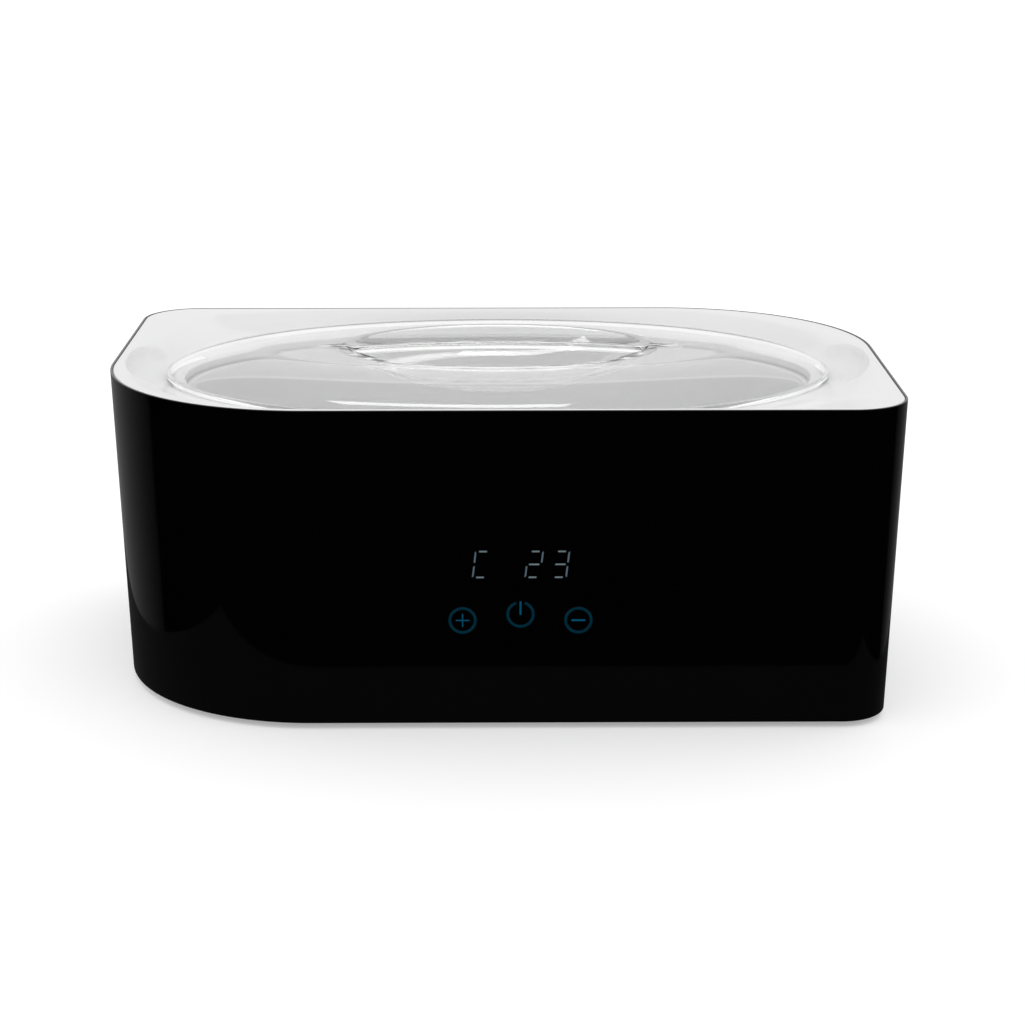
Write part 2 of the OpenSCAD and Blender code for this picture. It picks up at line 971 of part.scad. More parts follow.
// Sections of the lid's faces, from the middle out, each [half length, half width, height].
// t is how far the face lies inside the outer one.
function bowl_sections(t) =
    [for (k = [0:5])
        let (a = mix(bowl_flat, recess_a - 0.8, k / 5))
            [a, a * recess_b / recess_a, bowl(a) - t]];

function dome_sections(t) =
    [for (k = [dome_steps:-1:(t > 0 ? 1 : 0)])
        let (u = pow(k / dome_steps, 2), d = u * dome_w + t * sin(dome_slope(u)))
            [lid_a - d, lid_b - d, wall_z + dome_rise(u) - t * cos(dome_slope(u))]];

// Raised bead round the rim of the recess
BEAD = [
    [recess_a, recess_b, dome_z + bead_h],
    [recess_a + bead_w - 0.8, recess_b + bead_w - 0.8, dome_z + bead_h],
    [recess_a + bead_w, recess_b + bead_w, dome_z - 0.2]];

// Closed solid through oval sections, with a flat end at its first and last
module oval_skin(sections, steps) {
    n = len(sections);
    polyhedron(
        points = [for (s = sections)
            for (i = [0:steps - 1])
                [s[0] * cos(i * 360 / steps), s[1] * sin(i * 360 / steps), s[2]]],
        faces = concat(
            [[for (i = [steps - 1:-1:0]) i]],
            [[for (i = [0:steps - 1]) (n - 1) * steps + i]],
            [for (r = [0:n - 2])
                for (i = [0:steps - 1])
                    [r * steps + i, r * steps + (i + 1) % steps, (r + 1) * steps + i]],
            [for (r = [0:n - 2])
                for (i = [0:steps - 1])
                    [r * steps + (i + 1) % steps, (r + 1) * steps + (i + 1) % steps,
                        (r + 1) * steps + i]]));
}

// Floor and wall of the recess, bead, dome and upright wall in one thin oval shell
module lid_shell() {
    oval_skin(concat(
        bowl_sections(0),
        BEAD,
        dome_sections(0),
        [[lid_a, lid_b, lid_z], [lid_a - lid_t, lid_b - lid_t, lid_z]],
        reversed(dome_sections(lid_t)),
        reversed(bowl_sections(lid_t))), 56);
}

// Half width of the grip bar, set in by t, at the fraction u of its height
function bar_half(t, u) = bar_t / 2 - t + (bar_flare - bar_t / 2) * pow(1 - u, 2.2);

// Cross-section of the grip bar: slim at the top, flared towards its foot
module bar_section(t) {
    foot = bowl_z - 4;
    top = bar_mid_z - t;
    side = [for (k = [0:5])
        [bar_half(t, k / 5), mix(bowl_z - 1, top - 1.2, k / 5)]];
    crown = [[bar_half(t, 1) - 1, top], [1 - bar_half(t, 1), top]];
    polygon(concat(
        [[bar_half(t, 0), foot]],
        side,
        crown,
        [for (p = reversed(side)) [-p[0], p[1]]],
        [[-bar_half(t, 0), foot]]));
}

// Side view of the grip bar: an arch on top, and the recess's curve below
module bar_side(t, foot) {
    reach = recess_a - 0.5 - 2 * t;
    polygon(concat(
        [for (k = [-8:8])
            let (x = reach * k / 8)
                [x, mix(bar_mid_z, bar_end_z, k * k / 64) - t]],
        [for (k = [8:-1:-8])
            let (x = reach * k / 8)
                [x, bowl(abs(x)) - foot]]));
}

module bar_form(t, foot) {
    intersection() {
        rotate([90, 0, 90])
            translate([0, 0, -recess_a])
                linear_extrude(recess_w)
                    bar_section(t);
        translate([0, recess_b, 0])
            rotate([90, 0, 0])
                linear_extrude(recess_d)
                    bar_side(t, foot);
    }
}

module lid() {
    color([0.9, 0.92, 0.94, 0.35])
        difference() {
            union() {
                lid_shell();
                bar_form(0, 0.8);
            }
            bar_form(2, 4);
        }
}

outer_shell();
top_deck();
base_plate();
rubber_feet();
base_screws();
inner_tank();
tank_gasket();
retaining_ring();
ring_screws();
heating_pad();
heater_plate();
tank_studs();
stud_nuts();
insulation_sleeve();
insulation_pad();
heat_shield();
shield_screws();
thermal_cutout();
temperature_sensor();
sensor_strap();
control_board();
display_module();
touch_springs();
icon_leds();
board_screws();
digit_segments();
icon_plus();
icon_power();
icon_minus();
power_board();
transformer();
heater_relay();
fuse_holder();
terminal_block();
power_board_screws();
appliance_inlet();
inlet_pins();
inlet_screws();
inlet_nuts();
mains_wires();
earth_wire();
heater_wires();
sensor_wires();
ribbon_cable();
lid();
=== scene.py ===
"""Heated wax bath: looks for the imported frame. Metres, +Z up, -Y towards the control face."""

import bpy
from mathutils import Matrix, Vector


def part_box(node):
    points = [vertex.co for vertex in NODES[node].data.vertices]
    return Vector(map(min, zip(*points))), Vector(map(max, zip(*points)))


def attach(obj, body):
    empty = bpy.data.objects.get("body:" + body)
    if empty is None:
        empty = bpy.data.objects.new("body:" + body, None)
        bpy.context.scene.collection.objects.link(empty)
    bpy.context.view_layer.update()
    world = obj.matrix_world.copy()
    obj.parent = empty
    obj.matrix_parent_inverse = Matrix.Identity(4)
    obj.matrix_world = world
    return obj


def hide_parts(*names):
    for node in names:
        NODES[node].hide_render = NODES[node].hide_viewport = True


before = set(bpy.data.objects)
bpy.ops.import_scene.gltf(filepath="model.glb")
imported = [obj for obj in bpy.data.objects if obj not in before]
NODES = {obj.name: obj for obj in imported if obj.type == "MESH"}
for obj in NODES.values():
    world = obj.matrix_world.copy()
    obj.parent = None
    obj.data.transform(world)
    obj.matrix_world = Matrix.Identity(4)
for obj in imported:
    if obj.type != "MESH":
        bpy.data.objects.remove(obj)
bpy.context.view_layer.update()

import math

import bmesh
import bpy
import numpy as np
from mathutils import Matrix, Vector

MM = 0.001
HOUSING = "housing"
LID = "lid_body"

# ---------------------------------------------------------------- sizes, from the frame

shell_lo, shell_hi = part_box("outer_shell")
lid_lo, lid_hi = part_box("lid")
tank_lo, tank_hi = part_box("inner_tank")

# Black shell
HALF_W = shell_hi.x
HALF_D = shell_hi.y
RIM = shell_hi.z
BOTTOM = shell_lo.z
DRAFT = 5 * MM                  # how far a wall leans in, rim to bottom
BIG_R = 107 * MM
SMALL_R = 29 * MM
WALL = 2.5 * MM
LIP = 1.2 * MM                  # thin top edge round the deck
LEDGE = RIM - 14 * MM           # the deck's skirt stands on this step
GAP = 0.15 * MM                 # between the lip and the deck
LEAN = math.atan2(DRAFT, RIM - BOTTOM)
INLET_Z = 30 * MM               # middle of the opening for the inlet
INLET_HALF = (13.7 * MM, 10.2 * MM)

# White deck
SEAT = RIM - 10.5 * MM          # level bottom of the dish
DECK_T = 3 * MM
DISH_GAP = 2 * MM               # level seat outside the lid
RIM_FLAT = 2 * MM               # level edge before the dish
MOUTH_STEP = 2 * MM             # the deck's mouth is this much wider than the tank's
SCOOP_X = HALF_W - 24 * MM      # middle of a finger scoop
SCOOP = Vector((18.5, 43, 10.5)) * MM   # its half width, half length and depth
SCOOP_Z = RIM - 1 * MM
SCOOP_SOFT = 1.1 * MM           # fillet round a scoop
SCOOP_THIN = 0.8                # growth of a scoop's underside, as a share of the deck's thickness
DISH_SOFT = 0.6                 # how softly the dish leaves the rim and meets the seat
MOUTH_ROUND = 0.8 * MM
POSTS = ((-148, -82), (168, -94), (148, 82), (-168, 94))    # screw posts, x and y in mm
POST_R = 5 * MM
POST_HOLE_R = 1.8 * MM
POST_FOOT = 6 * MM
POST_TOP = SEAT - 0.8 * MM
POST_STEPS = 32

# Clear lid
LID_A = lid_hi.x
LID_B = lid_hi.y
LID_Z = lid_lo.z                # foot of the wall, level with the recess's lowest point
LID_T = 2.5 * MM
LID_STEPS = 256                 # points round the oval
WALL_Z = RIM - 8 * MM           # top of the upright wall
DOME_RISE = 13 * MM
DOME_Z = WALL_Z + DOME_RISE
DOME_W = 50 * MM                # width of the dome, in from the wall
DOME_CROWN = 1.65               # how soon the dome levels out
DOME_EDGE = 0.62                # how steeply it leaves the wall
DOME_STEPS = 34
LEVEL_STEPS = 6                 # from the dome's crown to the patch
INNER_START = 0.8 * MM          # the inner face starts after the wall's tight bend
RECESS_A = 79.8 * MM
RECESS_B = 52.8 * MM
RECESS_EDGE = 4.6 * MM          # level ring round the recess, as one surface with it
RECESS_GROW = 3.6 * MM          # how much wider the recess is underneath
PATCH_A = RECESS_A + RECESS_EDGE
PATCH_B = RECESS_B + RECESS_EDGE
BOWL_Z = DOME_Z - 17 * MM
BOWL_FLAT = 36 * MM             # half length of the level floor
BOWL_POWER = 1.6                # how the bowl's side steepens
RIM_SOFT = 0.6 * MM
BAR_HALF = 3.5 * MM
BAR_CROWN = 1.2 * MM            # rounding of the bar's top edges
BAR_FLARE = 18 * MM             # half width of the bar at its foot
BAR_POWER = 1.5
BAR_TAPER = 0.7                 # how much of the flare is lost at the bar's ends
BAR_SOFT = 3.0 * MM             # fillet between the bar and the bowl
BAR_MID_Z = lid_hi.z
BAR_END_Z = DOME_Z - 1 * MM
BAR_FOOT_Z = BOWL_Z - 1 * MM

# Tank
FLANGE_W = 10 * MM
FLANGE_Z = tank_hi.z
MOUTH_A = tank_hi.x - FLANGE_W
MOUTH_B = tank_hi.y - FLANGE_W
TANK_T = 2 * MM
TANK_LEAN = 10 * MM             # mouth to floor, each side
TANK_ROUND = 18 * MM            # round corner between the wall and the floor
TANK_UNDER = tank_lo.z
TANK_STEPS = 192

# Icons
CONTROL_X = 10.6 * MM           # middle of the control field
ICON_PITCH = 28.4 * MM
ICON_Z = 57.5 * MM
POWER_LIFT = 3.1 * MM           # the power icon sits this much higher
ICON_R = 6.95 * MM
STROKE = 1.4 * MM               # rings
THIN = 0.95 * MM                # minus bar and power bar
FINE = 0.6 * MM                 # plus bars
RING_STEPS = 72
ARM = 3.4 * MM
POWER_GAP = 38                  # opening of the power ring, in degrees
POWER_INSET = 0.2 * MM          # from the ring's outside to the power bar's top
POWER_BAR = 2.1 * ARM           # from the ring's outside to the power bar's foot

# Digits
DIGIT_X = CONTROL_X + 0.2 * MM
DIGIT_Z = 86.5 * MM
DIGIT_PITCH = 12.8 * MM
SLANT = math.radians(6.5)
LIT = ("ADEF", "", "ABGED", "ABGCD")
SEG_T = 0.8 * MM
SEG_LONG = 5.75 * MM
SEG_SHORT = 3.8 * MM
SEG_MID = 5.0 * MM
SEG_X = 3.55 * MM
SEG_Y = 6.65 * MM
SIDE_Y = 0.58 * SEG_Y           # middle of an upright segment

# Inlays in the front wall: how far they stand out, reach in, and their broken edge
PROUD = 0.06 * MM
SUNK = 0.35 * MM
CHAMFER = 0.05 * MM

# ---------------------------------------------------------------- camera

EYE = Vector((-0.0028, -1.2289, 0.4296 + BOTTOM))
LOOK_DOWN = math.radians(16.136)
LOOK_RIGHT = math.radians(0.491)
SENSOR_MM = 36
LENS_MM = 83.6


def add_camera():
    data = bpy.data.cameras.new("camera")
    data.sensor_width = SENSOR_MM
    data.lens = LENS_MM
    data.clip_end = 60
    camera = bpy.data.objects.new("camera", data)
    camera.location = EYE
    camera.rotation_euler = (math.radians(90) - LOOK_DOWN, 0, -LOOK_RIGHT)
    bpy.context.scene.collection.objects.link(camera)
    bpy.context.scene.camera = camera


add_camera()

# ---------------------------------------------------------------- mesh helpers


def mesh_object(name, build, material=None, sharp=40):
    """A smooth-shaded object whose mesh the function build fills in."""
    bm = bmesh.new()
    build(bm)
    bmesh.ops.remove_doubles(bm, verts=bm.verts, dist=1e-7)
    bmesh.ops.recalc_face_normals(bm, faces=bm.faces)
    mesh = bpy.data.meshes.new(name)
    bm.to_mesh(mesh)
    bm.free()
    mesh.polygons.foreach_set("use_smooth", [True] * len(mesh.polygons))
    mesh.set_sharp_from_angle(angle=math.radians(sharp))
    obj = bpy.data.objects.new(name, mesh)
    bpy.context.scene.collection.objects.link(obj)
    if material:
        mesh.materials.append(material)
    return obj


def oval_ring(a, b, z, steps):
    """Points round an oval with the half lengths a and b, at one height."""
    return [Vector((a * math.cos(t), b * math.sin(t), z))
            for t in (2 * math.pi * i / steps for i in range(steps))]


def add_rings(bm, rings, wrap=False, cap=False):
    """Quads between rings of equally many points. wrap joins the last ring to the first."""
    loops = [[bm.verts.new(p) for p in ring] for ring in rings]
    pairs = list(zip(loops, loops[1:]))
    if wrap:
        pairs.append((loops[-1], loops[0]))
    for low, high in pairs:
        n = len(low)
        for i in range(n):
            j = (i + 1) % n
            bm.faces.new((low[i], low[j], high[j], high[i]))
    if cap:
        bm.faces.new(loops[0])
        bm.faces.new(loops[-1])
    return loops


def add_revolved(bm, profile, x, y, steps):
    """A closed solid of revolution about an upright axis, from (radius, height) points."""
    at = Vector((x, y, 0))
    add_rings(bm, [[at + p for p in oval_ring(r, r, z, steps)] for r, z in profile], cap=True)


def arc(cx, cz, r, a0, a1, steps):
    """Points of an arc in a profile, angles in degrees."""
    return [(cx + r * math.cos(math.radians(a)), cz + r * math.sin(math.radians(a)))
            for a in np.linspace(a0, a1, steps + 1)]


def add_prism(bm, points, place, z0, z1, chamfer=0.0, paint=0):
    """A flat outline raised from z0 to z1 with its upper edge broken by a small chamfer."""
    first = len(bm.faces)
    flat = [Vector(p) for p in points]

    def ring(shrink, z):
        out = []
        for i, p in enumerate(flat):
            before = (p - flat[i - 1]).normalized()
            after = (flat[(i + 1) % len(flat)] - p).normalized()
            normal = Vector((-(before + after).y, (before + after).x)).normalized()
            out.append(place @ Vector((*(p + normal * shrink), z)))
        return out

    rings = [ring(0, z0), ring(0, z1 - chamfer)]
    if chamfer:
        rings.append(ring(chamfer, z1))
    add_rings(bm, rings, cap=True)
    bm.faces.ensure_lookup_table()
    for face in bm.faces[first:]:
        face.material_index = paint


# ---------------------------------------------------------------- materials


def new_material(name):
    material = bpy.data.materials.new(name)
    material.use_nodes = True
    tree = material.node_tree
    return material, tree, tree.nodes["Principled BSDF"]


def link_noise(tree, scale, detail=4.0):
    """Noise over the object's own coordinates: scale is its waves to the metre."""
    place = tree.nodes.new("ShaderNodeTexCoord")
    noise = tree.nodes.new("ShaderNodeTexNoise")
    noise.inputs["Scale"].default_value = scale
    noise.inputs["Detail"].default_value = detail
    tree.links.new(place.outputs["Object"], noise.inputs["Vector"])
    return noise.outputs["Fac"]


def ramp(tree, value, start, end, low, high):
    """Runs from low to high while the value runs from start to end, and is level outside."""
    node = tree.nodes.new("ShaderNodeMapRange")
    node.inputs["From Min"].default_value = start
    node.inputs["From Max"].default_value = end
    node.inputs["To Min"].default_value = low
    node.inputs["To Max"].default_value = high
    tree.links.new(value, node.inputs["Value"])
    return node.outputs["Result"]


def spread(tree, noise, low, high):
    """Spreads the middle range of a noise from low to high."""
    return ramp(tree, noise, 0.3, 0.7, low, high)


def add_bump(tree, shader, height, strength, distance):
    """Bumps the surface by a height map whose full range is distance metres."""
    bump = tree.nodes.new("ShaderNodeBump")
    bump.inputs["Strength"].default_value = strength
    bump.inputs["Distance"].default_value = distance
    tree.links.new(height, bump.inputs["Height"])
    tree.links.new(bump.outputs["Normal"], shader.inputs["Normal"])


def mix_colours(tree, factor, first, second):
    mix = tree.nodes.new("ShaderNodeMix")
    mix.data_type = "RGBA"
    mix.inputs["A"].default_value = (*first, 1)
    mix.inputs["B"].default_value = (*second, 1)
    tree.links.new(factor, mix.inputs["Factor"])
    return mix.outputs["Result"]


def solid(name, colour, rough=(0.3, 0.4), metallic=0.0, vary=0.06, grain=900.0, bump=0.1,
          bump_mm=0.02, patch=35.0):
    """Plain moulded, sheet or cast surface: patchy roughness, slight colour drift, fine grain."""
    material, tree, shader = new_material(name)
    shader.inputs["Metallic"].default_value = metallic
    shader.inputs["IOR"].default_value = 1.5
    patches = link_noise(tree, patch, 3.0)
    fine = link_noise(tree, grain, 6.0)
    darker = tuple(c * (1 - vary) for c in colour)
    lighter = tuple(min(1.0, c * (1 + vary)) for c in colour)
    colours = mix_colours(tree, spread(tree, patches, 0, 1), darker, lighter)
    tree.links.new(colours, shader.inputs["Base Color"])
    tree.links.new(spread(tree, patches, *rough), shader.inputs["Roughness"])
    add_bump(tree, shader, fine, bump, bump_mm * MM)
    return material


def glow(name, colour):
    """Lit print behind the wall's gloss, slightly uneven along its strokes."""
    material, tree, shader = new_material(name)
    drift = spread(tree, link_noise(tree, 260.0, 2.0), 0, 1)
    dim = tuple(c * 0.85 for c in colour)
    bright = tuple(c * 1.12 for c in colour)
    tree.links.new(mix_colours(tree, drift, dim, bright), shader.inputs["Emission Color"])
    shader.inputs["Emission Strength"].default_value = 1.0
    shader.inputs["Base Color"].default_value = (*(c * 0.05 for c in colour), 1)
    gloss = spread(tree, link_noise(tree, 700.0), 0.05, 0.09)
    tree.links.new(gloss, shader.inputs["Roughness"])
    return material


def clear_plastic(name):
    """Clear moulded plastic: polished, with a slow waviness from the mould."""
    material, tree, shader = new_material(name)
    shader.inputs["Base Color"].default_value = (0.998, 0.998, 0.998, 1)
    shader.inputs["Transmission Weight"].default_value = 1.0
    shader.inputs["IOR"].default_value = 1.49
    gloss = spread(tree, link_noise(tree, 30.0), 0.0, 0.012)
    tree.links.new(gloss, shader.inputs["Roughness"])
    add_bump(tree, shader, link_noise(tree, 16.0, 1.0), 0.2, 0.1 * MM)
    return material


M = {
    "shell": solid("shell_black", (0.0005, 0.0005, 0.0006), (0.035, 0.07), vary=0.1, grain=500,
                   bump=0.03, bump_mm=0.01),
    "deck": solid("deck_white", (0.815, 0.815, 0.818), (0.16, 0.22), vary=0.008, grain=420,
                  bump=0.05, bump_mm=0.015),
    "lid": clear_plastic("lid_clear"),
    "tank": solid("tank_enamel", (0.95, 0.95, 0.952), (0.28, 0.32), vary=0.004, grain=520,
                  bump=0.1, bump_mm=0.02, patch=22),
    "icon": glow("icon_teal", (0.0006, 0.019, 0.032)),
    "icon_bar": glow("icon_teal_bright", (0.0006, 0.060, 0.115)),
    "digit": glow("digit_light", (0.122, 0.165, 0.178)),
    "digit_side": glow("digit_light_side", (0.080, 0.112, 0.142)),
    "black_matte": solid("base_black", (0.022, 0.022, 0.024), (0.42, 0.55), grain=2600, bump=0.5,
                         bump_mm=0.05),
    "rubber": solid("foot_rubber", (0.024, 0.024, 0.025), (0.6, 0.75), grain=1800, bump=0.5,
                    bump_mm=0.05),
    "steel": solid("sheet_steel", (0.60, 0.61, 0.63), (0.28, 0.42), 1.0, 0.05, grain=900,
                   bump=0.15, bump_mm=0.01, patch=60),
    "screw": solid("screw_zinc", (0.66, 0.66, 0.65), (0.22, 0.34), 1.0, 0.05, grain=2000,
                   bump=0.1, bump_mm=0.01, patch=300),
    "gasket": solid("gasket_silicone", (0.66, 0.66, 0.65), (0.45, 0.55), grain=1200),
    "heater": solid("heater_silicone", (0.45, 0.13, 0.05), (0.5, 0.62), grain=2400, bump=0.6,
                    bump_mm=0.08),
    "felt": solid("insulation_felt", (0.78, 0.75, 0.66), (0.85, 0.95), vary=0.10, grain=700,
                  bump=1.0, bump_mm=0.8, patch=90),
    "board": solid("board_green", (0.012, 0.15, 0.06), (0.28, 0.4), vary=0.25, grain=900,
                   bump=0.3, bump_mm=0.03, patch=220),
    "black_part": solid("part_black", (0.02, 0.02, 0.022), (0.35, 0.5), grain=2200, bump=0.3),
    "phenolic": solid("cutout_phenolic", (0.07, 0.035, 0.02), (0.4, 0.5), vary=0.15, grain=1500),
    "spring": solid("spring_plated", (0.72, 0.62, 0.42), (0.2, 0.3), 1.0, 0.04, grain=1800),
    "led": solid("led_white", (0.80, 0.79, 0.66), (0.3, 0.4), grain=900),
    "relay": solid("relay_blue", (0.02, 0.06, 0.28), (0.3, 0.42), grain=1500),
    "winding": solid("transformer_dark", (0.05, 0.042, 0.035), (0.35, 0.5), vary=0.2, grain=800,
                     bump=0.4, bump_mm=0.1),
    "ceramic": solid("fuse_ceramic", (0.74, 0.73, 0.68), (0.15, 0.25), grain=600),
    "terminal": solid("terminal_green", (0.02, 0.24, 0.08), (0.35, 0.48), grain=1500),
    "inlet": solid("inlet_black", (0.016, 0.016, 0.018), (0.3, 0.42), grain=2400, bump=0.35,
                   bump_mm=0.03),
    "pin": solid("pin_nickel", (0.72, 0.68, 0.60), (0.18, 0.28), 1.0, 0.04, grain=1500),
    "wire_brown": solid("wire_brown", (0.12, 0.045, 0.02), (0.38, 0.5), grain=900),
    "wire_earth": solid("wire_earth", (0.14, 0.33, 0.03), (0.38, 0.5), vary=0.3, grain=900),
    "wire_white": solid("wire_white", (0.70, 0.68, 0.62), (0.38, 0.5), grain=900),
    "wire_black": solid("wire_black", (0.02, 0.02, 0.02), (0.38, 0.5), grain=900),
    "wire_grey": solid("wire_grey", (0.32, 0.32, 0.34), (0.38, 0.5), grain=900),
}

CARRIED = {
    "base_plate": "black_matte", "base_screws": "screw", "tank_gasket": "gasket",
    "retaining_ring": "steel", "ring_screws": "screw", "heating_pad": "heater",
    "heater_plate": "steel", "tank_studs": "screw", "stud_nuts": "screw",
    "insulation_sleeve": "felt", "insulation_pad": "felt", "heat_shield": "steel",
    "shield_screws": "screw", "thermal_cutout": "phenolic", "temperature_sensor": "steel",
    "sensor_strap": "steel", "control_board": "board", "display_module": "black_part",
    "touch_springs": "spring", "icon_leds": "led", "board_screws": "screw",
    "power_board": "board", "transformer": "winding", "heater_relay": "relay",
    "fuse_holder": "ceramic", "terminal_block": "terminal", "power_board_screws": "screw",
    "appliance_inlet": "inlet", "inlet_pins": "pin", "inlet_screws": "screw",
    "inlet_nuts": "screw", "mains_wires": "wire_brown", "earth_wire": "wire_earth",
    "heater_wires": "wire_white", "sensor_wires": "wire_black", "ribbon_cable": "wire_grey"}


def dress(name, material):
    """Gives a CAD node its material."""
    mesh = NODES[name].data
    mesh.materials.clear()
    mesh.materials.append(material)


for node_name, key in CARRIED.items():
    dress(node_name, M[key])

# ---------------------------------------------------------------- body outline

# Corner arcs of the rim: middle x and y, radius, start angle, steps
CORNERS = [
    (-(HALF_W - BIG_R), -(HALF_D - BIG_R), BIG_R, 180, 44),
    (HALF_W - SMALL_R, -(HALF_D - SMALL_R), SMALL_R, 270, 18),
    (HALF_W - BIG_R, HALF_D - BIG_R, BIG_R, 0, 44),
    (-(HALF_W - SMALL_R), HALF_D - SMALL_R, SMALL_R, 90, 18)]
# Steps along the front, right, back and left side
EDGE_STEPS = (44, 40, 44, 40)


def outline(inset):
    """The rim's outline, set in: arcs round the corners and even steps along the sides."""
    arcs = []
    for cx, cy, r, start, steps in CORNERS:
        arcs.append([
            Vector((cx + (r - inset) * math.cos(a), cy + (r - inset) * math.sin(a)))
            for a in np.radians(np.linspace(start, start + 90, steps + 1))])
    points = []
    for i, bend in enumerate(arcs):
        points += bend
        p, q = bend[-1], arcs[(i + 1) % 4][0]
        steps = EDGE_STEPS[i]
        points += [p.lerp(q, k / steps) for k in range(1, steps)]
    return points


def lean_at(z):
    """How far the walls have leaned in from the rim at a height."""
    return DRAFT * (RIM - z) / (RIM - BOTTOM)


def ring_at(z, inset):
    return [Vector((p.x, p.y, z)) for p in outline(lean_at(z) + inset)]


def front_place(x, z):
    """Local frame on the front wall: +Z out of the wall, +Y up along it."""
    y = -HALF_D + lean_at(z)
    return Matrix.Translation((x, y, z)) @ Matrix.Rotation(math.pi / 2 + LEAN, 4, "X")


def back_place(x, z):
    return Matrix.Rotation(math.pi, 4, "Z") @ front_place(-x, z)


# ---------------------------------------------------------------- black shell


def build_shell(bm):
    """One closed section of (height, inset) points, carried round the outline."""
    foot_edge = 0.9 * MM
    rim_edge = 0.35 * MM
    lip_edge = 0.2 * MM
    outer_low, outer_high = BOTTOM + 6 * MM, RIM - 1.5 * MM
    inner_high, inner_low = LEDGE - 10 * MM, BOTTOM + 8 * MM
    profile = [(BOTTOM, WALL), (BOTTOM, foot_edge + lip_edge)]
    profile += [(BOTTOM + foot_edge * (1 - math.sin(a)), foot_edge * (1 - math.cos(a)))
                for a in np.radians([72, 54, 36, 18, 0])]
    profile += [(z, 0) for z in np.linspace(outer_low, outer_high, 12)]
    profile += [(RIM - rim_edge + rim_edge * math.sin(a), rim_edge * (1 - math.cos(a)))
                for a in np.radians([0, 30, 60, 90])]
    profile += [(RIM, LIP - lip_edge), (RIM - lip_edge, LIP), (LEDGE, LIP), (LEDGE, WALL)]
    profile += [(z, WALL) for z in np.linspace(inner_high, inner_low, 6)]
    add_rings(bm, [ring_at(z, inset) for z, inset in profile], wrap=True)


def cut(obj, cutter):
    """Subtracts the cutter from the object and removes the cutter."""
    boolean = obj.modifiers.new("cut", "BOOLEAN")
    boolean.operation = "DIFFERENCE"
    boolean.solver = "EXACT"
    boolean.object = cutter
    graph = bpy.context.evaluated_depsgraph_get()
    mesh = bpy.data.meshes.new_from_object(obj.evaluated_get(graph))
    obj.modifiers.clear()
    mesh.polygons.foreach_set("use_smooth", [True] * len(mesh.polygons))
    mesh.set_sharp_from_angle(angle=math.radians(30))
    old = obj.data
    obj.data = mesh
    bpy.data.meshes.remove(old)
    bpy.data.objects.remove(cutter)


def make_shell():
    shell = mesh_object("shell", build_shell, M["shell"], 50)
    inlet_lo, inlet_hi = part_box("appliance_inlet")
    place = back_place((inlet_lo.x + inlet_hi.x) / 2, INLET_Z)
    x, y = INLET_HALF
    opening = [(-x, -y), (x, -y), (x, y), (-x, y)]
    through = (-6 * MM, 3 * MM)
    cutter = mesh_object("cutter", lambda bm: add_prism(bm, opening, place, *through))
    cut(shell, cutter)
    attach(shell, HOUSING)
    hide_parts("outer_shell")


# ---------------------------------------------------------------- white deck


def oval_match(points, a, b):
    """Points on an oval in the same elliptical directions as the given outline."""
    out = []
    for p in points:
        t = math.atan2(p.y / b, p.x / a)
        out.append(Vector((a * math.cos(t), b * math.sin(t))))
    return out


def scoop_height(x, y, grow):
    """Height of the finger scoop's bowl at a point, or None outside it."""
    d = 1 - ((abs(x) - SCOOP_X) / (SCOOP.x + grow)) ** 2 - (y / SCOOP.y) ** 2
    return SCOOP_Z - (SCOOP.z + grow) * math.sqrt(d) if d > 0 else None


def smooth_min(a, b, k):
    """The lower of two heights, or arrays of heights, with a fillet of size k where they meet."""
    h = np.clip(0.5 + 0.5 * (b - a) / k, 0, 1)
    return b + (a - b) * h - k * h * (1 - h)


def scooped(x, y, z, grow):
    """Lowers a point of the deck into the scoop, with a soft edge."""
    deep = scoop_height(x, y, grow)
    return z if deep is None else smooth_min(z, deep, SCOOP_SOFT)


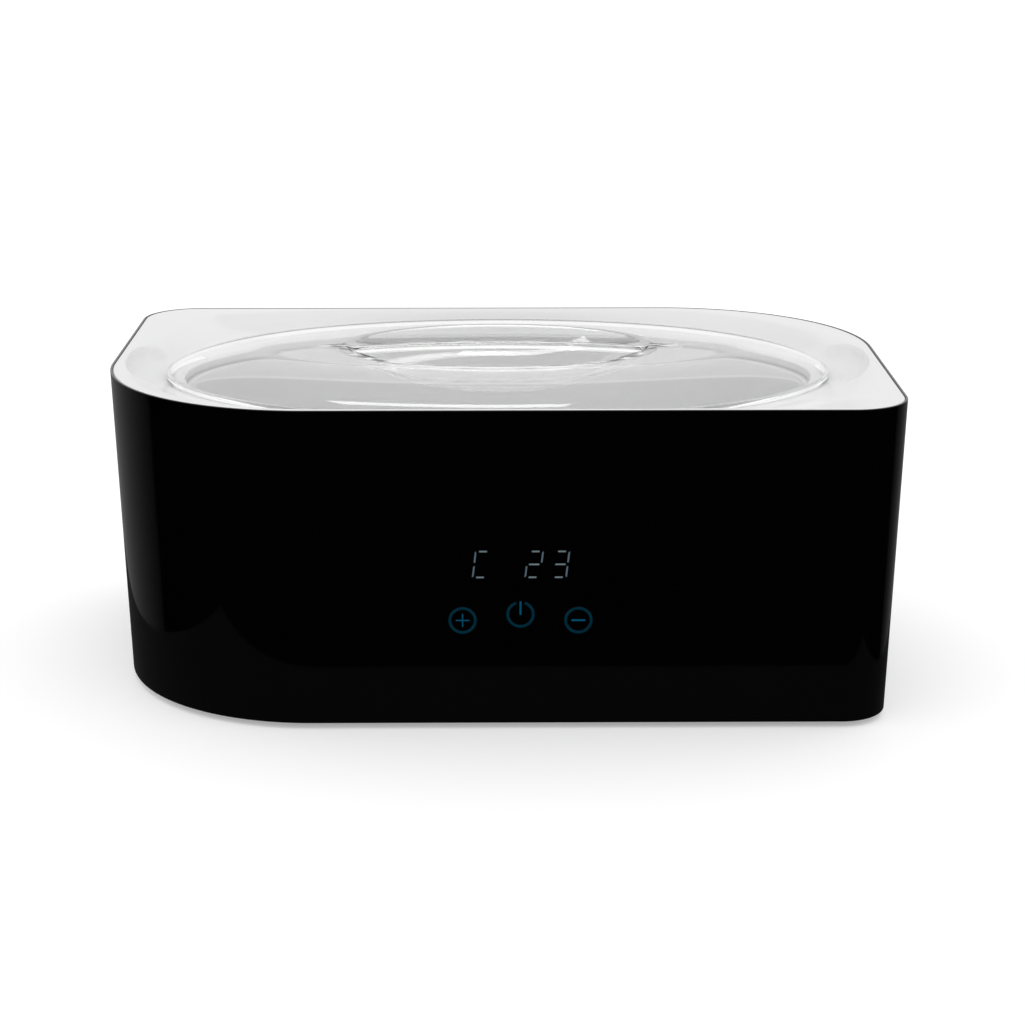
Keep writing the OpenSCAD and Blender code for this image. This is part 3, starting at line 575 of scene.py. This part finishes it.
def build_deck(bm):
    """The skirt, the rim, the dish down to the mouth, and back along the underside."""
    skirt = LIP + GAP
    edge = 0.9 * MM
    inner = [Vector((p.x, p.y)) for p in outline(skirt + RIM_FLAT)]
    seat = oval_match(inner, LID_A + DISH_GAP, LID_B + DISH_GAP)
    mouth_a, mouth_b = MOUTH_A + MOUTH_STEP, MOUTH_B + MOUTH_STEP
    mouth = oval_match(inner, mouth_a, mouth_b)

    def between(first, last, s, z, drop):
        """Ring at s of the way from one outline to the next, lowered by drop and the scoops."""
        ring = []
        for p, q in zip(first, last):
            xy = p.lerp(q, s)
            ring.append(Vector((xy.x, xy.y, scooped(xy.x, xy.y, z - drop, drop * SCOOP_THIN))))
        return ring

    def dish(s, drop=0.0):
        """One ring of the dish: s runs from the rim (0) to the seat (1)."""
        fall = s - DISH_SOFT / (2 * math.pi) * math.sin(2 * math.pi * s)
        return between(inner, seat, s, RIM + (SEAT - RIM) * fall, drop)

    def flat(s, drop=0.0):
        """One ring of the level seat: s runs from the dish (0) to the mouth (1)."""
        return between(seat, mouth, s, SEAT, drop)

    rings = [ring_at(LEDGE, skirt)]
    rings += [ring_at(z, skirt) for z in np.linspace(LEDGE + 3 * MM, RIM - 1.0 * MM, 3)]
    rings += [ring_at(RIM - edge + edge * math.sin(a), skirt + edge * (1 - math.cos(a)))
              for a in np.radians([18, 36, 54, 72, 90])]
    rings += [dish(s) for s in np.linspace(0, 1, 29)]
    rings += [flat(s) for s in np.linspace(0.1, 0.9, 9)]
    for a in np.radians([15, 45, 75, 90]):
        inset = MOUTH_ROUND * (1 - math.sin(a))
        z = SEAT - MOUTH_ROUND + MOUTH_ROUND * math.cos(a)
        rings.append([Vector((p.x, p.y, z))
                      for p in oval_match(inner, mouth_a + inset, mouth_b + inset)])
    rings.append([Vector((p.x, p.y, SEAT - DECK_T)) for p in mouth])
    rings += [flat(s, DECK_T) for s in np.linspace(0.8, 0.0, 5)]
    rings += [dish(s, DECK_T) for s in np.linspace(0.92, 0.12, 11)]
    rings += [ring_at(RIM - DECK_T, skirt + WALL), ring_at(LEDGE, skirt + WALL)]
    add_rings(bm, rings, wrap=True)
    post = [(POST_HOLE_R, POST_FOOT), (POST_R, POST_FOOT), (POST_R, POST_TOP),
            (POST_HOLE_R, POST_TOP)]
    for x, y in POSTS:
        add_revolved(bm, post, x * MM, y * MM, POST_STEPS)


def make_deck():
    deck = mesh_object("deck", build_deck, M["deck"], 55)
    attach(deck, HOUSING)
    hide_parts("top_deck")


# ---------------------------------------------------------------- clear lid


def lid_ring(a, b, z):
    return oval_ring(a, b, z, LID_STEPS)


def dome_profile():
    """Outer section of the dome: inset from the wall, height, and the inward unit normal."""
    t = np.linspace(0, 1, DOME_STEPS) ** 2
    inset = DOME_W * t
    z = WALL_Z + DOME_RISE * (1 - (1 - t) ** DOME_CROWN) ** DOME_EDGE
    run, rise = np.gradient(inset), np.gradient(z)
    length = np.hypot(run, rise)
    normal_in, normal_up = -rise / length, run / length
    normal_in[0], normal_up[0] = -1, 0
    normal_in[-1], normal_up[-1] = 0, 1
    return inset, z, normal_in, normal_up


def dome_rings(thick):
    """Rings up the dome from its wall, and level ones on to the patch round the recess."""
    rings = []
    for d, z, n_in, n_up in zip(*dome_profile()):
        if thick and d < INNER_START:
            continue
        d, z = d - thick * n_in, z - thick * n_up
        rings.append(lid_ring(LID_A - d, LID_B - d, z))
    crown_a, crown_b = LID_A - DOME_W, LID_B - DOME_W
    for u in np.linspace(0, 1, LEVEL_STEPS + 1)[1:-1]:
        a = crown_a + (PATCH_A - crown_a) * u
        b = crown_b + (PATCH_B - crown_b) * u
        rings.append(lid_ring(a, b, DOME_Z - thick))
    return rings


def recess_height(x, y, grow=0.0):
    """Upper face of the recess with its grip bar, for arrays of x and y. grow widens the bowl."""
    half_a, half_b = RECESS_A + grow, RECESS_B + grow
    a = half_a * np.sqrt((x / half_a) ** 2 + (y / half_b) ** 2)
    u = np.clip((a - BOWL_FLAT) / (half_a - BOWL_FLAT), 0, None)
    bowl = smooth_min(DOME_Z, BOWL_Z + (DOME_Z - BOWL_Z) * u ** BOWL_POWER, RIM_SOFT)
    top = BAR_MID_Z + (BAR_END_Z - BAR_MID_Z) * (x / RECESS_A) ** 2
    flare = (BAR_FLARE - BAR_HALF) * (1 - BAR_TAPER * np.clip(x / RECESS_A, -1, 1) ** 2)
    beside = np.clip((np.abs(y) - BAR_HALF) / flare, 0, 1)
    side = 1 - beside ** (1 / BAR_POWER)
    over = np.clip((np.abs(y) - (BAR_HALF - BAR_CROWN)) / BAR_CROWN, 0, 1)
    bar = np.where(np.abs(y) < BAR_HALF, top - 0.5 * BAR_CROWN * over ** 2,
                   BAR_FOOT_Z + (top - BAR_FOOT_Z - 0.5 * BAR_CROWN) * side)
    return -smooth_min(-bar, -bowl, BAR_SOFT)


def under_height(x, y):
    """Lower face: the lid's thickness inside the upper face, and more under the bowl's rim.

    No ball of radius LID_T with its middle on the upper face reaches below this face."""
    low = recess_height(x, y, RECESS_GROW) - LID_T
    for r in (0.35, 0.7, 0.93):
        for t in np.linspace(0, 2 * np.pi, 16, endpoint=False):
            d = r * LID_T
            near = recess_height(x + d * np.cos(t), y + d * np.sin(t))
            low = np.minimum(low, near - LID_T * math.sqrt(1 - r * r))
    return low


def patch_column(reach, bend):
    """Distances from the bar's middle line to reach: close at the bar's edges and at the bend.

    Where the column is short, its part over the bar shrinks and leaves room for the rest."""
    core = np.concatenate([
        np.linspace(0, 2.2, 4), np.linspace(2.5, 5.5, 11), np.linspace(6.2, 20, 18)]) * MM
    least_reach = 1.6 * core[-1]
    ys = list(core * min(1.0, reach / least_reach))
    start = ys[-1]
    room = reach - start
    bend = min(max(bend, start + 0.5 * room), start + 0.88 * room)
    wide = min(0.9 * MM, 0.1 * room)
    ys += list(np.linspace(start, bend - wide, 24)[1:-1])
    ys += list(bend + wide * np.linspace(-1, 1, 8))
    ys += list(np.linspace(bend + wide, reach, 8)[1:-1])
    return ys


def fill_patch(bm, border, height, grow=0.0):
    """Fills the oval border with a height field whose rows follow the grip bar."""
    half = LID_STEPS // 2
    columns = []
    for i in range(1, half):
        t = 2 * math.pi * i / LID_STEPS
        x = PATCH_A * math.cos(t)
        bend = (RECESS_B + grow) * math.sqrt(max(0.0, 1 - (x / (RECESS_A + grow)) ** 2))
        ys = patch_column(PATCH_B * math.sin(t), bend)
        ys = np.array([-y for y in reversed(ys[1:])] + ys)
        zs = height(np.full(len(ys), x), ys)
        inner = [bm.verts.new((x, y, z)) for y, z in zip(ys, zs)]
        columns.append([border[-i]] + inner + [border[i]])
    for left, right in zip(columns, columns[1:]):
        for j in range(len(left) - 1):
            bm.faces.new((left[j], left[j + 1], right[j + 1], right[j]))
    for tip, column in ((border[0], columns[0]), (border[half], columns[-1])):
        for j in range(len(column) - 1):
            bm.faces.new((tip, column[j], column[j + 1]))


def patch_border(height):
    """The ring where the dome's level top meets the patch of the recess."""
    ring = lid_ring(PATCH_A, PATCH_B, 0)
    heights = height(np.array([p.x for p in ring]), np.array([p.y for p in ring]))
    for p, z in zip(ring, heights):
        p.z = z
    return ring


def build_lid(bm):
    """From the recess out over the dome, round the foot, back inside, and the two patches."""
    edge = 0.5 * MM
    foot = [(0, LID_Z + edge)]
    foot += [(edge * (1 - math.cos(k)), LID_Z + edge - edge * math.sin(k))
             for k in np.radians([45, 90])]
    foot += [(LID_T - edge, LID_Z), (LID_T, LID_Z + edge)]
    rings = [patch_border(recess_height)]
    rings += dome_rings(0)[::-1]
    rings += [lid_ring(LID_A - inset, LID_B - inset, z) for inset, z in foot]
    rings += dome_rings(LID_T)
    rings.append(patch_border(under_height))
    loops = add_rings(bm, rings)
    fill_patch(bm, loops[0], recess_height)
    fill_patch(bm, loops[-1], under_height, RECESS_GROW)


def make_lid():
    lid = mesh_object("clear_lid", build_lid, M["lid"], 80)
    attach(lid, LID)
    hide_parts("lid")
    return lid


# ---------------------------------------------------------------- tank


def build_tank(bm):
    """The inside up to the mouth, the flange, and the outside down again."""
    def ring(widen, z):
        return oval_ring(MOUTH_A + widen, MOUTH_B + widen, z, TANK_STEPS)

    def wall(offset, floor_z, top_z, corner):
        """Rings of one face of the tank from the floor's middle up to its mouth."""
        foot = offset - TANK_LEAN
        rings = [oval_ring((MOUTH_A + foot) * f, (MOUTH_B + foot) * f, floor_z, TANK_STEPS)
                 for f in (0.001, 0.3, 0.6)]
        for t in np.radians(np.linspace(0, 84, 11)):
            rings.append(ring(foot - corner + corner * math.sin(t),
                              floor_z + corner - corner * math.cos(t)))
        rise = floor_z + corner
        for u in np.linspace(0.08, 1, 9):
            rings.append(ring(foot + TANK_LEAN * u, rise + (top_z - rise) * u))
        return rings

    fold = 1.2 * MM
    inside = wall(0, TANK_UNDER + TANK_T, FLANGE_Z - fold, TANK_ROUND)
    flange = [ring(0.4 * MM, FLANGE_Z - 0.35 * MM), ring(fold, FLANGE_Z),
              ring(FLANGE_W, FLANGE_Z), ring(FLANGE_W, FLANGE_Z - TANK_T),
              ring(3 * MM, FLANGE_Z - TANK_T)]
    outside = wall(TANK_T, TANK_UNDER, FLANGE_Z - TANK_T - 1 * MM, TANK_ROUND + TANK_T)
    add_rings(bm, inside + flange + outside[::-1], cap=True)


def make_tank():
    tank = mesh_object("wax_tank", build_tank, M["tank"], 60)
    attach(tank, HOUSING)
    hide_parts("inner_tank")


# ---------------------------------------------------------------- icons and digits


def add_ring(bm, place):
    """The closed ring of an icon."""
    outer, inner = ICON_R, ICON_R - STROKE
    levels = [(outer, -SUNK), (outer, PROUD - CHAMFER), (outer - CHAMFER, PROUD),
              (inner + CHAMFER, PROUD), (inner, PROUD - CHAMFER), (inner, -SUNK)]
    rings = [[place @ p for p in oval_ring(r, r, z, RING_STEPS)] for r, z in levels]
    add_rings(bm, rings, wrap=True)


def add_open_ring(bm, place):
    """The power icon's ring, open at its top."""
    angles = np.radians(np.linspace(90 + POWER_GAP / 2, 450 - POWER_GAP / 2, RING_STEPS + 1))
    outer = [(ICON_R * math.cos(a), ICON_R * math.sin(a)) for a in angles]
    inner = [((ICON_R - STROKE) * math.cos(a), (ICON_R - STROKE) * math.sin(a)) for a in angles]
    add_prism(bm, outer + inner[::-1], place, -SUNK, PROUD, CHAMFER)


def add_bar(bm, place, p, q, width):
    """Straight stroke between two points with slightly rounded ends."""
    p, q = Vector(p), Vector(q)
    along = (q - p).normalized()
    side = Vector((-along.y, along.x)) * width / 2
    narrow = side * 0.6
    soft = along * width * 0.2
    points = [p + narrow, p - narrow, p + soft - side, q - soft - side,
              q - narrow, q + narrow, q - soft + side, p + soft + side]
    add_prism(bm, points, place, -SUNK, PROUD, CHAMFER, 1)


def icon_plus(bm, place):
    add_ring(bm, place)
    add_bar(bm, place, (-ARM, 0), (ARM, 0), FINE)
    add_bar(bm, place, (0, ARM), (0, FINE / 2), FINE)
    add_bar(bm, place, (0, -FINE / 2), (0, -ARM), FINE)


def icon_minus(bm, place):
    add_ring(bm, place)
    add_bar(bm, place, (-ARM, 0), (ARM, 0), THIN)


def icon_power(bm, place):
    add_open_ring(bm, place)
    add_bar(bm, place, (0, ICON_R - POWER_INSET), (0, ICON_R - POWER_BAR), THIN)


def make_icon(name, node, x, z, build):
    icon = mesh_object(name, lambda bm: build(bm, front_place(x, z)), M["icon"], 40)
    icon.data.materials.append(M["icon_bar"])
    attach(icon, HOUSING)
    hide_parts(node)


# Segments of a digit: middle x and y, length, and whether it stands upright
SEGMENTS = {
    "A": (0, SEG_Y, SEG_SHORT, False), "G": (0, 0, SEG_MID, False),
    "D": (0, -SEG_Y, SEG_SHORT, False),
    "B": (SEG_X, SIDE_Y, SEG_LONG, True), "C": (SEG_X, -SIDE_Y, SEG_LONG, True),
    "F": (-SEG_X, SIDE_Y, SEG_LONG, True), "E": (-SEG_X, -SIDE_Y, SEG_LONG, True)}


def segment_outline(name):
    """A lit bar: level ones are plain, upright ones lose the corner at their level neighbour."""
    x, y, long, upright = SEGMENTS[name]
    half, s = long / 2, SEG_T / 2
    if not upright:
        return [(x - half, y - s), (x + half, y - s), (x + half, y + s), (x - half, y + s)]
    inner, outer = (-s, s) if x > 0 else (s, -s)
    far = half if y > 0 else -half
    cut_back = far - math.copysign(SEG_T, far)
    corners = [(inner, -far), (outer, -far), (outer, far), (inner, cut_back)]
    return [(x + cx, y + cy) for cx, cy in corners]


def turned_left(points):
    """The outline's points in anticlockwise order."""
    area = sum(p[0] * q[1] - q[0] * p[1] for p, q in zip(points, points[1:] + points[:1]))
    return points if area > 0 else points[::-1]


def build_digits(bm):
    place = front_place(DIGIT_X, DIGIT_Z)
    for slot, bars in enumerate(LIT):
        shift = (slot - 1.5) * DIGIT_PITCH
        for name in bars:
            points = turned_left(segment_outline(name))
            leaned = [(x + y * math.tan(SLANT) + shift, y) for x, y in points]
            upright = SEGMENTS[name][3]
            add_prism(bm, leaned, place, -SUNK, PROUD, CHAMFER, 1 if upright else 0)


def make_controls():
    make_icon("plus_icon", "icon_plus", CONTROL_X - ICON_PITCH, ICON_Z, icon_plus)
    make_icon("power_icon", "icon_power", CONTROL_X, ICON_Z + POWER_LIFT, icon_power)
    make_icon("minus_icon", "icon_minus", CONTROL_X + ICON_PITCH, ICON_Z, icon_minus)
    digits = mesh_object("lit_digits", build_digits, M["digit"], 40)
    digits.data.materials.append(M["digit_side"])
    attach(digits, HOUSING)
    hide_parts("digit_segments")


# ---------------------------------------------------------------- feet

FEET = ((-125, -84), (146, -98), (125, 84), (-146, 98))     # x and y in mm
FOOT_R = 9 * MM
FOOT_TOP = 4 * MM
FOOT_STEPS = 56


def build_feet(bm):
    """Round feet with a shallow hollow underneath and a rounded lower edge."""
    middle = 0.001 * MM
    hollow = 0.35 * MM
    edge = 1.1 * MM
    profile = [(middle, hollow), (4.6 * MM, hollow), (5.0 * MM, 0), (7.6 * MM, 0)]
    profile += arc(FOOT_R - edge, edge, edge, -90, 0, 6)
    profile += [(FOOT_R, FOOT_TOP), (middle, FOOT_TOP)]
    for x, y in FEET:
        add_revolved(bm, profile, x * MM, y * MM, FOOT_STEPS)


def make_feet():
    feet = mesh_object("feet", build_feet, M["rubber"], 45)
    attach(feet, HOUSING)
    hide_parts("rubber_feet")


make_shell()
make_deck()
clear_lid = make_lid()
make_tank()
make_controls()
make_feet()

# ---------------------------------------------------------------- stage and light

FLOOR_HALF = 14
FLOOR_DROP = 0.02 * MM          # keeps the floor just clear of the feet
FLOOR_GLOW = 0.32
CARD_MARGIN = 72 * MM
CARD_Z = 0.3 * MM
CARD_GLOW = 0.035
EVEN_LIGHT = 1.06

# What mirror reflections see. A band runs from low to high while the ray's rise (its Z) or
# depth (its Y) runs from start to end: start, end, low, high.
PAPER_FOOT = (-0.02, 0.06, 0.0, 1.0)       # a bright backdrop begins above the floor
PAPER_TOP = (0.56, 0.575, 0.0, 0.62)       # how much darker it is overhead
FOLD_START = (0.535, 0.545, 0.0, 0.6)      # its upper edge is lit
FOLD_END = (0.56, 0.57, 1.0, 0.0)
FAR_START = (0.215, 0.23, 0.0, 1.0)        # the floor far behind the object is dim
FAR_FLOOR = (0.22, 0.93, 0.03, 0.24)
LAMP_TOWARDS = (-0.085, -0.70, 0.71)
LAMP_EDGES = (2, 8)                        # its bright core and its faded rim, in degrees
LAMP_STRENGTH = 11.0

STRIP_X = -0.115
STRIP_AT = (STRIP_X, 0.386, 1.2)
STRIP_AIM = (STRIP_X, 0, 0.1)
STRIP_SIZE = (0.53, 0.15)
STRIP_POWER = 1.79


def add_rectangle(bm, half_x, half_y, z):
    bm.faces.new([bm.verts.new((sx * half_x, sy * half_y, z))
                  for sx, sy in ((-1, -1), (1, -1), (1, 1), (-1, 1))])


def make_floor():
    """White paper, which lets the underside be seen from below."""
    material, tree, shader = new_material("floor_white")
    shader.inputs["Base Color"].default_value = (0.80, 0.80, 0.80, 1)
    shader.inputs["Emission Color"].default_value = (1, 1, 1, 1)
    shader.inputs["Emission Strength"].default_value = FLOOR_GLOW
    shader.inputs["Roughness"].default_value = 0.9
    shader.inputs["Specular IOR Level"].default_value = 0.0
    face = tree.nodes.new("ShaderNodeNewGeometry")
    clear = tree.nodes.new("ShaderNodeBsdfTransparent")
    mix = tree.nodes.new("ShaderNodeMixShader")
    tree.links.new(face.outputs["Backfacing"], mix.inputs["Fac"])
    tree.links.new(shader.outputs["BSDF"], mix.inputs[1])
    tree.links.new(clear.outputs["BSDF"], mix.inputs[2])
    tree.links.new(mix.outputs["Shader"], tree.nodes["Material Output"].inputs["Surface"])
    floor = mesh_object(
        "floor", lambda bm: add_rectangle(bm, FLOOR_HALF, FLOOR_HALF, -FLOOR_DROP), material)
    floor.visible_glossy = False


def make_world():
    """Even white light. Mirror reflections see a bright backdrop with a lit upper edge, a soft
    lamp, a dim far floor and a dark room instead."""
    world = bpy.data.worlds.new("studio")
    bpy.context.scene.world = world
    world.use_nodes = True
    tree = world.node_tree
    tree.nodes.clear()

    def combine(operation, first, second):
        node = tree.nodes.new("ShaderNodeMath")
        node.operation = operation
        for i, value in enumerate((first, second)):
            if isinstance(value, float):
                node.inputs[i].default_value = value
            else:
                tree.links.new(value, node.inputs[i])
        return node.outputs["Value"]

    place = tree.nodes.new("ShaderNodeTexCoord")
    split = tree.nodes.new("ShaderNodeSeparateXYZ")
    tree.links.new(place.outputs["Generated"], split.inputs["Vector"])
    rise, depth = split.outputs["Z"], split.outputs["Y"]
    paper = combine("SUBTRACT", ramp(tree, rise, *PAPER_FOOT), ramp(tree, rise, *PAPER_TOP))
    fold = combine("MULTIPLY", ramp(tree, rise, *FOLD_START), ramp(tree, rise, *FOLD_END))
    far = combine("MULTIPLY", ramp(tree, depth, *FAR_START), ramp(tree, depth, *FAR_FLOOR))

    towards = tree.nodes.new("ShaderNodeVectorMath")
    towards.operation = "DOT_PRODUCT"
    tree.links.new(place.outputs["Generated"], towards.inputs[0])
    towards.inputs[1].default_value = Vector(LAMP_TOWARDS).normalized()
    core, faded = [math.cos(math.radians(a)) for a in LAMP_EDGES]
    lamp = ramp(tree, towards.outputs["Value"], faded, core, 0.0, LAMP_STRENGTH)

    even = tree.nodes.new("ShaderNodeBackground")
    even.inputs["Color"].default_value = (1, 1, 1, 1)
    even.inputs["Strength"].default_value = EVEN_LIGHT
    sky = combine("ADD", combine("ADD", paper, fold), lamp)
    mirrored = tree.nodes.new("ShaderNodeBackground")
    tree.links.new(combine("MAXIMUM", sky, far), mirrored.inputs["Strength"])
    path = tree.nodes.new("ShaderNodeLightPath")
    direct = combine("SUBTRACT", 1.0, path.outputs["Is Transmission Ray"])
    mix = tree.nodes.new("ShaderNodeMixShader")
    tree.links.new(combine("MULTIPLY", path.outputs["Is Glossy Ray"], direct), mix.inputs["Fac"])
    tree.links.new(even.outputs["Background"], mix.inputs[1])
    tree.links.new(mirrored.outputs["Background"], mix.inputs[2])
    out = tree.nodes.new("ShaderNodeOutputWorld")
    tree.links.new(mix.outputs["Shader"], out.inputs["Surface"])


def make_table_card():
    """The near part of the table top, which only shows as a faint band in the black gloss."""
    material, tree, shader = new_material("card_grey")
    shader.inputs["Base Color"].default_value = (0, 0, 0, 1)
    shader.inputs["Specular IOR Level"].default_value = 0.0
    shader.inputs["Emission Color"].default_value = (1, 1, 1, 1)
    shader.inputs["Emission Strength"].default_value = CARD_GLOW
    half_x, half_y = HALF_W + CARD_MARGIN, HALF_D + CARD_MARGIN
    card = mesh_object(
        "table_card", lambda bm: add_rectangle(bm, half_x, half_y, CARD_Z), material)
    for kind in ("camera", "diffuse", "transmission", "shadow"):
        setattr(card, "visible_" + kind, False)


def add_lid_strip(lid):
    """A strip light that only the lid's gloss shows."""
    light = bpy.data.lights.new("strip_overhead", "AREA")
    light.shape = "RECTANGLE"
    light.size, light.size_y = STRIP_SIZE
    light.energy = STRIP_POWER
    strip = bpy.data.objects.new("strip_overhead", light)
    strip.location = STRIP_AT
    direction = Vector(STRIP_AIM) - Vector(STRIP_AT)
    strip.rotation_euler = direction.to_track_quat("-Z", "Y").to_euler()
    bpy.context.scene.collection.objects.link(strip)
    for kind in ("camera", "diffuse", "transmission"):
        setattr(strip, "visible_" + kind, False)
    receivers = bpy.data.collections.new("strip_overhead_lights")
    receivers.objects.link(lid)
    strip.light_linking.receiver_collection = receivers


def set_light_paths():
    """The clear lid needs many bounces: light runs on inside its walls."""
    cycles = bpy.context.scene.cycles
    cycles.max_bounces = 20
    cycles.glossy_bounces = 12
    cycles.transmission_bounces = 16


make_floor()
make_world()
make_table_card()
add_lid_strip(clear_lid)
set_light_paths()
bpy.context.scene.view_settings.view_transform = "Standard"
